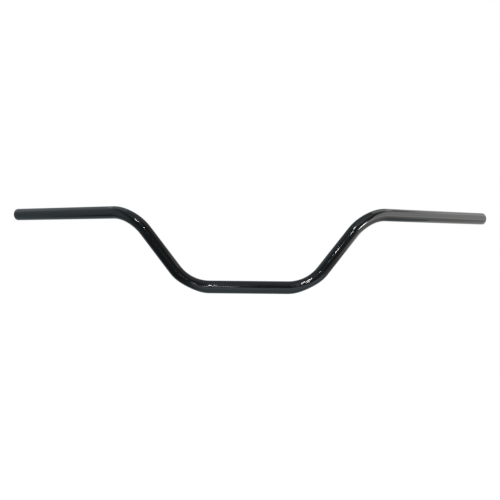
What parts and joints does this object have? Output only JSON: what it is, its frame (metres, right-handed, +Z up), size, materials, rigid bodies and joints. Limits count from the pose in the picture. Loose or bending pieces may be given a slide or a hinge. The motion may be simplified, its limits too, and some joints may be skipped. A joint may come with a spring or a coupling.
{
  "type": "flat track motorcycle handlebar",
  "caption": "Wide low-rise motorcycle handlebar bent from one steel tube: level clamp zone, splayed risers, swept-back open-ended grips, gloss black.",
  "frame": {"origin": "on the tube's centre line, at the middle of the straight clamp zone", "axes": "+X along the clamp zone to the right in the picture, +Y horizontally towards the rider, the way the grips sweep, +Z up with the grips level"},
  "size_m": [0.9098, 0.1708, 0.1506],
  "materials": {
    "gloss_black": "gloss black paint"
  },
  "bodies": {
    "root": {"handlebar": "gloss_black"}
  },
  "joints": []
}
